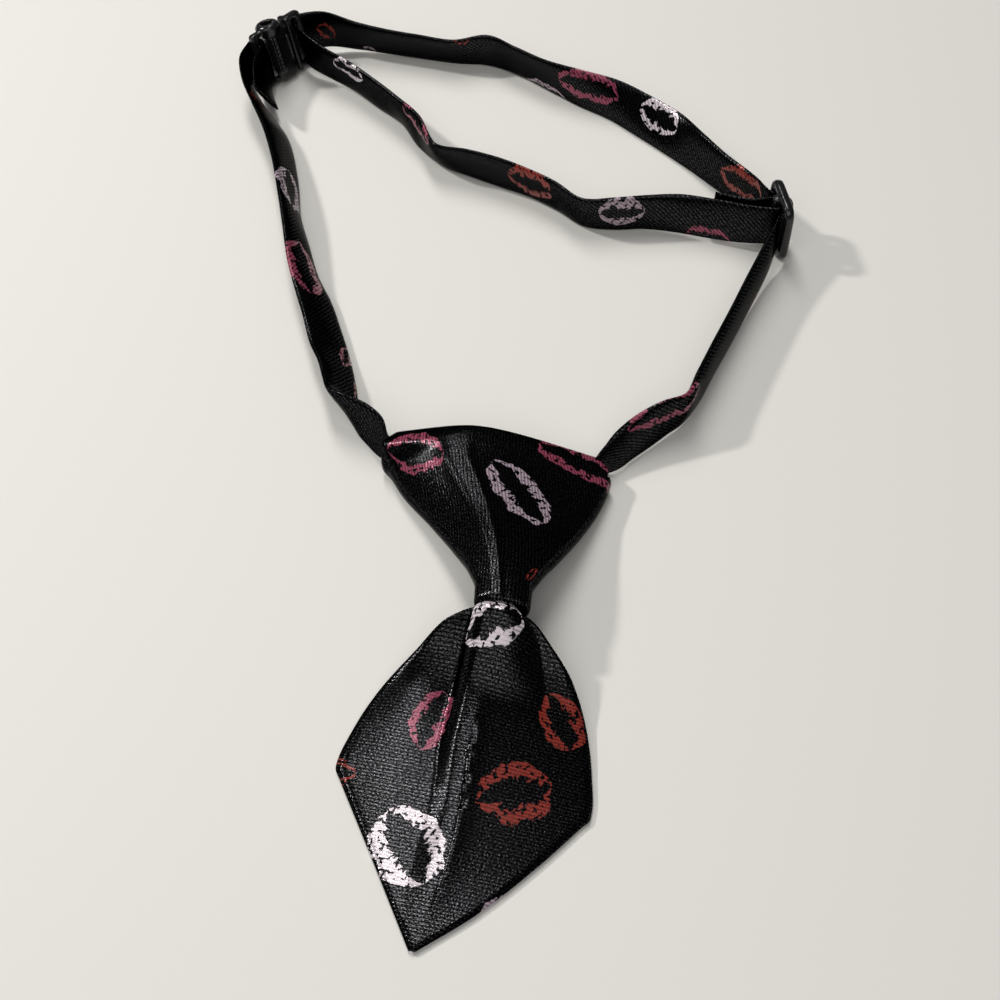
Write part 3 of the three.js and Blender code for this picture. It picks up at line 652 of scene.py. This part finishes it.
# %% Blade ridge and wings: run, ridge place, height, reach, left swell, left slope, right slope
BLADE_RIDGE = [
    (-1, 0.4, 0, 1.4, 0, 0, 0),
    (7.2, 1.2, 0.1, 1.4, 0, 0, 0),
    (9, 0.6, 0.1, 1.8, 0, 0, 0.03),
    (15, 0.1, 0.2, 2.2, 0.4, 0.01, 0.12),
    (20, -0.3, 0.25, 2.4, 0.8, 0.01, 0.15),
    (26, -0.3, 0.25, 2.5, 0.6, 0.02, 0.15),
    (36, 0.5, 0.25, 2.6, 0.3, 0.02, 0.12),
    (46, 1, 0.2, 2.6, 0.1, 0.01, 0.1),
    (54, 1, 0.1, 2, 0, 0, 0.06),
    (64, 0, 0, 1.4, 0, 0, 0),
]
BLADE_ROWS = 140
PANEL_COLUMNS = (16, 16, 16, 18)
RIGHT_FLANK = 0.6
CREST_LEFT = 2.2
CREST_LEFT_MOST = 0.45
CREST_RIGHT = 0.15
EDGE_STRIP = 0.2
HEM_REACH = 1.3
HEM_DROP = 0.45
SWELL_POWER = 1.2


def wing_swell(c, row, ridge, foot_left):
    if c >= foot_left:
        return 0.0
    share = (foot_left - c) / (row[0] + foot_left)
    return ridge[3] * math.sin(math.pi * min(1.0, share)) ** SWELL_POWER


def wing_slope(c, row, ridge):
    left, right, at = row[0], row[1], row[4]
    if c < at:
        return ridge[4] * (c + left), ridge[4] * (at + left)
    return ridge[5] * (right - c), ridge[5] * (right - at)


def hem_fall(c, row):
    inside = min(c + row[0], row[1] - c) / HEM_REACH
    return HEM_DROP * max(0.0, 1.0 - inside) ** 2


def panel_edges(row):
    left, right, _, _, at, foot_left, foot_right, _ = row
    left_foot = max(at - foot_left, EDGE_STRIP - left)
    right_foot = min(at + foot_right, right - EDGE_STRIP)
    return [-left, left_foot, at, right_foot, right]


def panel_columns(edges):
    across = [edges[0]]
    for panel, columns in enumerate(PANEL_COLUMNS):
        across.extend(even_steps(edges[panel], edges[panel + 1], columns)[1:])
    return across


def pleat_share(c, at, edges):
    reach = at - edges[1] if c < at else edges[3] - at
    flat = min(CREST_LEFT, CREST_LEFT_MOST * reach) if c < at else CREST_RIGHT * reach
    return max(0.0, abs(c - at) - flat) / (reach - flat)


def blade_height(c, row, ridge, edges):
    base, fold, at, tight = row[2], row[3], row[4], row[7]
    roundness = tight if c < at else tight * RIGHT_FLANK
    slope, slope_top = wing_slope(c, row, ridge)
    roof = roof_shape(pleat_share(c, at, edges), roundness)
    height = base + BLADE_WALL + slope + (max(fold, slope_top) - slope_top) * roof
    height += ridge[1] * crest_bump(c, ridge[0], ridge[2])
    return height + (wing_swell(c, row, ridge, edges[1]) - hem_fall(c, row))


def blade_section(run):
    row = smooth_row(BLADE_SECTIONS, run)
    ridge = smooth_row(BLADE_RIDGE, run)
    edges = panel_edges(row)
    return [(c, blade_height(c, row, ridge, edges)) for c in panel_columns(edges)]


print("points across the blade:", len(blade_section(0.0)))

# %% Make the blade
def press_on_table(piece):
    for vertex in piece.data.vertices:
        vertex.co.z = max(vertex.co.z, 0.0)
    piece.data.update()


CREST_COLUMN = PANEL_COLUMNS[0] + PANEL_COLUMNS[1]
blade_points = []
blade_chart = []
for run in even_steps(BLADE_SECTIONS[0][0], BLADE_SECTIONS[-1][0], BLADE_ROWS):
    section = blade_section(run)
    girth = girth_from(section, CREST_COLUMN)
    for (c, z), g in zip(section, girth):
        dx, dy = turned(c, -run, BLADE_TURN)
        blade_points.append((BLADE_AT[0] + dx, BLADE_AT[1] + dy, z))
        blade_chart.append((g, run))

blade = flat_grid("satin_blade", sum(PANEL_COLUMNS), BLADE_ROWS)
lay_grid(blade, blade_points, blade_chart)
sew_seams(blade)
thicken(blade, BLADE_WALL)
press_on_table(blade)
print("blade triangles:", triangle_count(blade))

# %% [markdown]
# ## The print
# The print is a scatter of lip marks in red, pink and near white. An image could hold it, but here each mark
# is drawn by arithmetic on the cloth's own measures: inside its outline the mark has ink, inside a smaller
# ragged outline it has none. First come short helpers that make nodes and join them.

# %% Node helpers
def new_node(tree, kind, **settings):
    node = tree.nodes.new(kind)
    for name, value in settings.items():
        setattr(node, name, value)
    return node


def feed(tree, socket, value):
    if isinstance(value, bpy.types.NodeSocket):
        tree.links.new(value, socket)
    else:
        socket.default_value = value


def calc(tree, operation, *values, clamp=False):
    node = new_node(tree, "ShaderNodeMath", operation=operation, use_clamp=clamp)
    for socket, value in zip(node.inputs, values):
        feed(tree, socket, value)
    return node.outputs[0]


def vector_calc(tree, operation, *values, scale=None):
    node = new_node(tree, "ShaderNodeVectorMath", operation=operation)
    for socket, value in zip(node.inputs, values):
        feed(tree, socket, value)
    if scale is not None:
        feed(tree, node.inputs["Scale"], scale)
    return node.outputs[0]


def speckle(tree, place, per_mm, detail=2.0):
    node = new_node(tree, "ShaderNodeTexNoise", noise_dimensions="2D")
    tree.links.new(place, node.inputs["Vector"])
    node.inputs["Scale"].default_value = per_mm
    node.inputs["Detail"].default_value = detail
    return node


def mixed(tree, factor, a, b):
    node = new_node(tree, "ShaderNodeMix", data_type="RGBA")
    feed(tree, node.inputs["Factor"], factor)
    feed(tree, node.inputs[6], a)
    feed(tree, node.inputs[7], b)
    return node.outputs[2]


print("node helpers ready")

# %% The lip mark
LIP_INPUTS = (("Place", "NodeSocketVector"), ("Centre", "NodeSocketVector"), ("Turn", "NodeSocketFloat"),
              ("Width", "NodeSocketFloat"), ("Height", "NodeSocketFloat"))
MOUTH_OPEN = 0.25
MOUTH_RAG = 0.75
BOW_DIP = 0.2
BOW_REACH = 0.3
BOW_CURVE = 0.55
HOLLOW_CURVE = 0.35
INK_EDGE = 0.05
CREASES = 3.6
RAG_LEVEL = 0.2
CORNER = 0.02


def half_measure(tree, value, whole):
    return calc(tree, "DIVIDE", value, calc(tree, "MULTIPLY", whole, 0.5))


def lip_outline(tree, x, y, left_over):
    dip = calc(tree, "SUBTRACT", 1.0, calc(tree, "DIVIDE", x, BOW_REACH), clamp=True)
    dip = calc(tree, "MULTIPLY", calc(tree, "MULTIPLY", dip, BOW_DIP), calc(tree, "GREATER_THAN", y, 0.0))
    bow = calc(tree, "POWER", left_over, BOW_CURVE)
    edge = calc(tree, "MULTIPLY", bow, calc(tree, "SUBTRACT", 1.0, dip))
    return calc(tree, "DIVIDE", calc(tree, "ABSOLUTE", y), calc(tree, "MAXIMUM", edge, 0.001))


def lip_hollow(tree, place, centre, left_over):
    around = vector_calc(tree, "SCALE", vector_calc(tree, "NORMALIZE", place), scale=CREASES)
    rag = speckle(tree, vector_calc(tree, "ADD", around, centre), 1.0, 3.0).outputs["Fac"]
    rag = calc(tree, "SUBTRACT", rag, RAG_LEVEL, clamp=True)
    open_share = calc(tree, "MULTIPLY_ADD", rag, MOUTH_RAG, MOUTH_OPEN)
    return calc(tree, "MULTIPLY", open_share, calc(tree, "POWER", left_over, HOLLOW_CURVE))


def lip_ink(tree, depth, hollow, left_over):
    outside = calc(tree, "DIVIDE", calc(tree, "SUBTRACT", 1.0, depth), INK_EDGE, clamp=True)
    inside = calc(tree, "DIVIDE", calc(tree, "SUBTRACT", depth, hollow), INK_EDGE, clamp=True)
    between_corners = calc(tree, "GREATER_THAN", left_over, CORNER)
    return calc(tree, "MULTIPLY", calc(tree, "MULTIPLY", outside, inside), between_corners)


def lip_mark_group():
    tree = bpy.data.node_groups.new("lip_mark", "ShaderNodeTree")
    for name, kind in LIP_INPUTS:
        tree.interface.new_socket(name=name, in_out="INPUT", socket_type=kind)
    tree.interface.new_socket(name="Ink", in_out="OUTPUT", socket_type="NodeSocketFloat")
    given = new_node(tree, "NodeGroupInput").outputs
    turn = new_node(tree, "ShaderNodeVectorRotate", rotation_type="Z_AXIS")
    tree.links.new(vector_calc(tree, "SUBTRACT", given["Place"], given["Centre"]), turn.inputs["Vector"])
    tree.links.new(given["Turn"], turn.inputs["Angle"])
    split = new_node(tree, "ShaderNodeSeparateXYZ")
    tree.links.new(turn.outputs[0], split.inputs[0])
    x = calc(tree, "ABSOLUTE", half_measure(tree, split.outputs[0], given["Width"]))
    y = half_measure(tree, split.outputs[1], given["Height"])
    left_over = calc(tree, "SUBTRACT", 1.0, calc(tree, "POWER", x, 2.0), clamp=True)
    hollow = lip_hollow(tree, turn.outputs[0], given["Centre"], left_over)
    ink = lip_ink(tree, lip_outline(tree, x, y, left_over), hollow, left_over)
    tree.links.new(ink, new_node(tree, "NodeGroupOutput").inputs["Ink"])
    return tree


lip_mark = lip_mark_group()
print("lip mark nodes:", len(lip_mark.nodes))

# %% [markdown]
# Where each mark sits is charted, as a textile worker charts a repeat: the place of its middle, its
# width and height in millimetres, its turn and its ink. On the strap, the second place goes round the tube.

# %% Print charts: across mm, along mm, width, height, turn, ink
RED = (0.25, 0.027, 0.017, 1)
PINK = (0.29, 0.052, 0.098, 1)
PALE = (0.44, 0.34, 0.4, 1)
# The near-white ink is made lighter for the marks that lie in light: partly the ink's own colour, partly a
# painted sheen.
WHITE_INK_AND_SHEEN = (0.72, 0.64, 0.69, 1)
BLADE_MARKS = [
    (-0.8, 9.4, 11.5, 8, 21, WHITE_INK_AND_SHEEN),
    (-8.9, 24.4, 11, 7.4, 82, PINK),
    (14.6, 20.8, 10, 8, -58, RED),
    (8.9, 35.2, 13, 10.4, 24, RED),
    (-7.4, 47.6, 15, 12.5, -48, WHITE_INK_AND_SHEEN),
    (-23.6, 36.8, 8.6, 5.5, 0, RED),
    (11.4, 55, 8.5, 7, 49, PALE),
]
KNOT_MARKS = [
    (-16, 6.6, 11.5, 9, -12, PINK),
    (3.2, 15.4, 15, 10.4, -58, PALE),
    (16.6, 3.8, 17, 7.5, -14, PINK),
    (4.9, 35, 3.6, 1.8, 60, RED),
]
STRAP_MARKS = [
    (36.5, 14.5, 9, 3, -49, RED),
    (67.5, 14.4, 13, 9, 0, PALE),
    (93.5, 13.8, 16, 9.5, 0, PINK),
    (118, 18.2, 7, 3, 20, PINK),
    (127, 19.6, 5, 2.6, 0, RED),
    (205.5, 8.6, 17, 6.6, 0, PINK),
    (247.5, 0.8, 6, 3.4, 0, RED),
    (285, 13.6, 13.5, 7.2, 0, RED),
    (314.5, 13.2, 11.5, 7.4, 0, WHITE_INK_AND_SHEEN),
    (334.6, 13.4, 16, 8, 0, PINK),
    (347, 19.8, 13, 6, 0, PALE),
    (369.9, 9.6, 3.5, 2.4, 0, RED),
    (394, 18.6, 4, 2.6, 0, PALE),
    (404.5, 15, 5, 4.5, 30, RED),
    (434, 8.2, 11, 4.2, 0, WHITE_INK_AND_SHEEN),
    (461.5, 9.2, 13, 4.6, 0, PINK),
    (493.4, 6.6, 11.5, 8.6, 0, RED),
    (516, 6.2, 10, 8, 0, PALE),
    (535.8, 0.2, 9.5, 6, 0, PINK),
]

print("lip marks:", len(BLADE_MARKS) + len(KNOT_MARKS) + len(STRAP_MARKS))

# %% [markdown]
# ## The satin
# Satin is fine-ribbed cloth: long floating threads mirror the light in rows of small sparks, and all between
# them stays nearly black. A sheen layer would look like velvet, so bare satin is made a dark metal here:
# rows of noise choose which threads shine. Where there is ink, the metal gives way to the ink's own colour,
# with small gaps where the cloth took none. A dull edge tint keeps the cloth dark when it is seen at a slant.

# %% Print on the cloth
WAVER_PER_MM = 0.3
WAVER_MM = 2.4
GAPS_PER_MM = 1.1
GAP_LEVEL = 0.375
GAP_EDGE = 0.03
RIB_INK = (0.45, 0.55)


def cloth_place(tree):
    cloth = new_node(tree, "ShaderNodeUVMap", uv_map="cloth")
    return cloth.outputs[0]


def wavering_place(tree, place):
    wobble = speckle(tree, place, WAVER_PER_MM, 3.0).outputs["Color"]
    shift = vector_calc(tree, "SUBTRACT", wobble, (0.5, 0.5, 0.5))
    return vector_calc(tree, "ADD", place, vector_calc(tree, "SCALE", shift, scale=WAVER_MM))


def ink_shade(tree, place, rib):
    gaps = calc(tree, "SUBTRACT", speckle(tree, place, GAPS_PER_MM, 1.0).outputs["Fac"], GAP_LEVEL)
    gaps = calc(tree, "DIVIDE", gaps, GAP_EDGE, clamp=True)
    return calc(tree, "MULTIPLY", gaps, calc(tree, "MULTIPLY_ADD", rib, *RIB_INK))


def placed_mark(tree, place, x, y, width, height, turn):
    mark = new_node(tree, "ShaderNodeGroup")
    mark.node_tree = lip_mark
    tree.links.new(place, mark.inputs["Place"])
    mark.inputs["Centre"].default_value = (x, y, 0)
    mark.inputs["Turn"].default_value = math.radians(turn)
    mark.inputs["Width"].default_value = width
    mark.inputs["Height"].default_value = height
    return mark.outputs["Ink"]


def printed_colour(tree, place, marks, base, rib):
    wavering = wavering_place(tree, place)
    shade = ink_shade(tree, place, rib)
    colour = base
    bare = 1.0
    for *where, ink in marks:
        cover = calc(tree, "MULTIPLY", placed_mark(tree, wavering, *where), shade)
        colour = mixed(tree, cover, colour, ink)
        bare = calc(tree, "MULTIPLY", bare, calc(tree, "SUBTRACT", 1.0, cover))
    return colour, bare


print("inks:", RED, PINK, PALE, WHITE_INK_AND_SHEEN)

# %% Ribs and threads
RIB_WAVER_PER_MM = 0.25
RIB_WAVER_MM = 0.3
RIB_CURVE = 0.7
THREADS_PER_MM = 2.6
THREAD_SHAPE = (1.0, 1.7, 1.0)
SPARK_LEVEL = 0.36
SPARK_SPAN = 0.34
SPARK_CURVE = 1.6


def rib_place(tree, place, turn):
    node = new_node(tree, "ShaderNodeVectorRotate", rotation_type="Z_AXIS")
    tree.links.new(place, node.inputs["Vector"])
    node.inputs["Angle"].default_value = math.radians(turn)
    return node.outputs[0]


def rib_lines(tree, place, pitch):
    split = new_node(tree, "ShaderNodeSeparateXYZ")
    tree.links.new(place, split.inputs[0])
    waver = speckle(tree, place, RIB_WAVER_PER_MM).outputs["Fac"]
    line = calc(tree, "MULTIPLY_ADD", waver, RIB_WAVER_MM, split.outputs[1])
    wave = calc(tree, "SINE", calc(tree, "MULTIPLY", line, 2 * math.pi / pitch))
    return calc(tree, "POWER", calc(tree, "MULTIPLY_ADD", wave, 0.5, 0.5), RIB_CURVE)


def thread_noise(tree, place):
    stretched = vector_calc(tree, "MULTIPLY", place, THREAD_SHAPE)
    return speckle(tree, stretched, THREADS_PER_MM, 1.0).outputs["Fac"]


def thread_sparks(tree, thread, rib):
    spark = calc(tree, "DIVIDE", calc(tree, "SUBTRACT", thread, SPARK_LEVEL), SPARK_SPAN, clamp=True)
    return calc(tree, "MULTIPLY", rib, calc(tree, "POWER", spark, SPARK_CURVE))


print("threads to the millimetre:", THREADS_PER_MM)

# %% The satin finish
GROOVE = (0.002, 0.002, 0.0023, 1)
THREAD = (0.084, 0.084, 0.089, 1)
EDGE_DULL = (0.42, 0.42, 0.42, 1)
SATIN_ROUGH = 0.22
INK_SHINE = 0.9
RELIEF = 0.8
RELIEF_MM = 0.014
THREAD_RELIEF = 3.0


def satin_relief(tree, thread, rib):
    bump = new_node(tree, "ShaderNodeBump")
    bump.inputs["Strength"].default_value = RELIEF
    bump.inputs["Distance"].default_value = RELIEF_MM * MM
    tree.links.new(calc(tree, "MULTIPLY_ADD", thread, THREAD_RELIEF, rib), bump.inputs["Height"])
    return bump.outputs[0]


def satin(name, marks, rib_pitch, rib_turn):
    material = bpy.data.materials.new(name)
    material.use_nodes = True
    tree = material.node_tree
    shader = tree.nodes["Principled BSDF"]
    shader.inputs["Specular Tint"].default_value = EDGE_DULL
    shader.inputs["Roughness"].default_value = SATIN_ROUGH
    shader.inputs["Specular IOR Level"].default_value = INK_SHINE
    place = cloth_place(tree)
    ribbed = rib_place(tree, place, rib_turn)
    rib = rib_lines(tree, ribbed, rib_pitch)
    thread = thread_noise(tree, ribbed)
    base = mixed(tree, thread_sparks(tree, thread, rib), GROOVE, THREAD)
    colour, bare = printed_colour(tree, place, marks, base, rib)
    feed(tree, shader.inputs["Base Color"], colour)
    feed(tree, shader.inputs["Metallic"], bare)
    tree.links.new(satin_relief(tree, thread, rib), shader.inputs["Normal"])
    return material


# %% Dress the cloth
TIE_RIB = 0.62
STRAP_RIB = 0.75


def dress(piece, *materials):
    piece.data.materials.clear()
    for material in materials:
        piece.data.materials.append(material)


lining = satin("plain_satin", [], TIE_RIB, 0)
dress(strap, satin("strap_satin", STRAP_MARKS, STRAP_RIB, 45))
dress(knot, satin("knot_satin", KNOT_MARKS, TIE_RIB, 90), lining)
dress(blade, satin("blade_satin", BLADE_MARKS, TIE_RIB, 0), lining)
print("cloth finishes:", [slot.name for piece in (strap, knot, blade) for slot in piece.data.materials])

# %% [markdown]
# ## Clasp and slider
# The clasp and the slider are moulded from glossy black plastic: smooth, and a little uneven, as moulded
# parts are. One black finish serves all three, with a fine noise in its gloss.

# %% Black plastic
PLASTIC = (0.006, 0.006, 0.0065, 1)
SMEARS_PER_M = 400.0
PLASTIC_ROUGH = (0.25, 0.08)


def moulded_plastic():
    material = bpy.data.materials.new("black_plastic")
    material.use_nodes = True
    tree = material.node_tree
    shader = tree.nodes["Principled BSDF"]
    shader.inputs["Base Color"].default_value = PLASTIC
    place = new_node(tree, "ShaderNodeTexCoord").outputs["Object"]
    smear = new_node(tree, "ShaderNodeTexNoise")
    tree.links.new(place, smear.inputs["Vector"])
    smear.inputs["Scale"].default_value = SMEARS_PER_M
    feed(tree, shader.inputs["Roughness"], calc(tree, "MULTIPLY_ADD", smear.outputs["Fac"], *PLASTIC_ROUGH))
    return material


plastic = moulded_plastic()
print("plastic finish:", plastic.name)

# %% [markdown]
# The solids have the right shape but sharp edges, and moulded edges are round and carry thin highlights. A
# bevel would have to follow every edge of each solid. Instead a copy of the solid's mesh is merged, rebuilt
# in small even faces by a Remesh modifier and rounded a little by a Smooth modifier.

# %% Rounded mouldings
VOXEL_MM = 0.2
ROUNDING_STEPS = 8


def rounded_moulding(node, name):
    piece = bpy.data.objects.new(name, node.data.copy())
    bpy.context.scene.collection.objects.link(piece)
    pick_only(piece)
    bpy.ops.object.mode_set(mode="EDIT")
    bpy.ops.mesh.select_all(action="SELECT")
    bpy.ops.mesh.remove_doubles(threshold=SEAM_REACH * MM)
    bpy.ops.object.mode_set(mode="OBJECT")
    grain = piece.modifiers.new("even_grain", "REMESH")
    grain.mode = "VOXEL"
    grain.voxel_size = VOXEL_MM * MM
    rounding = piece.modifiers.new("rounding", "SMOOTH")
    rounding.iterations = ROUNDING_STEPS
    bpy.ops.object.modifier_apply(modifier="even_grain")
    bpy.ops.object.modifier_apply(modifier="rounding")
    bpy.ops.object.shade_smooth()
    dress(piece, plastic)
    print(name, "triangles:", triangle_count(piece))
    return piece


mouldings = {}
for name in ("clasp_left", "clasp_right", "strap_slider"):
    mouldings[name] = rounded_moulding(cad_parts[name], "moulded_" + name)

# %% [markdown]
# ## Table
# The collar lies on a pale, plain table top. One large plane is enough; it is no part of the collar.

# %% Table
TABLE_SIZE = 6.0
TABLE_COLOUR = (0.79, 0.775, 0.735, 1)
TABLE_ROUGH = 0.6

bpy.ops.object.select_all(action="DESELECT")
bpy.ops.mesh.primitive_plane_add(size=TABLE_SIZE)
table = bpy.context.object
table.name = "table_top"
table_finish = bpy.data.materials.new("pale_table")
table_finish.use_nodes = True
table_shader = table_finish.node_tree.nodes["Principled BSDF"]
table_shader.inputs["Base Color"].default_value = TABLE_COLOUR
table_shader.inputs["Roughness"].default_value = TABLE_ROUGH
dress(table, table_finish)
print("table top, m:", TABLE_SIZE)

# %% [markdown]
# ## Light
# Satin shows the lamps it mirrors, so their places matter as much as their power. A small key light at the
# left casts the shadows. A long, narrow window light behind and above is what the flat cloth and the crests
# mirror. A large, weak room light in front fills the shadows.

# %% Light
LIGHTS = [
    ("key_light", (-0.597, 0.211, 0.552), 0.07, 0.07, 3.0, (1.0, 0.985, 0.955)),
    ("window_light", (-0.16, 0.67, 1.43), 0.32, 1.36, 10.7, (1.0, 0.985, 0.96)),
    ("room_light", (-0.2, -1.15, 1.4), 1.9, 1.6, 12.0, (1.0, 0.985, 0.96)),
]
ROOM_COLOUR = (0.9, 0.93, 1.0, 1)
ROOM_GLOW = 0.1


def soft_light(name, place, width, height, power_w, colour):
    data = bpy.data.lights.new(name, "AREA")
    data.shape = "ELLIPSE"
    data.size = width
    data.size_y = height
    data.energy = power_w
    data.color = colour
    lamp = bpy.data.objects.new(name, data)
    bpy.context.scene.collection.objects.link(lamp)
    lamp.location = place
    lamp.rotation_euler = (-Vector(place)).to_track_quat("-Z", "Y").to_euler()


for light in LIGHTS:
    soft_light(*light)
world = bpy.data.worlds.new("room")
world.use_nodes = True
world.node_tree.nodes["Background"].inputs["Color"].default_value = ROOM_COLOUR
world.node_tree.nodes["Background"].inputs["Strength"].default_value = ROOM_GLOW
bpy.context.scene.world = world
bpy.context.scene.view_settings.view_transform = "Standard"
print("lights:", [light[0] for light in LIGHTS])

# %% [markdown]
# ## Camera
# The collar is seen from the front, from about a forearm away, looking down by about 52 degrees.

# %% Camera
CAMERA_AT = (-0.6, -203.3, 226.0)
CAMERA_TILT = 38
LENS = 54.0
SENSOR = 36.0

camera_data = bpy.data.cameras.new("camera")
camera_data.lens = LENS
camera_data.sensor_width = SENSOR
camera_data.clip_start = 10 * MM
camera = bpy.data.objects.new("camera", camera_data)
bpy.context.scene.collection.objects.link(camera)
camera.location = Vector(CAMERA_AT) * MM
camera.rotation_euler = (math.radians(CAMERA_TILT), 0, 0)
bpy.context.scene.camera = camera
print("camera stands at, mm:", CAMERA_AT)

# %% [markdown]
# ## Join the pieces to the frame
# Each piece stands for its solid and rides on the one body of this part.

for piece, node, slot in ((strap, "neck_strap", "strap_satin"), (knot, "tie_knot", "knot_satin"),
                          (blade, "tie_blade", "tie_satin")):
    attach(piece, "root")
    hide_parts(node)
for node, piece in mouldings.items():
    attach(piece, "root")
    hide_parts(node)
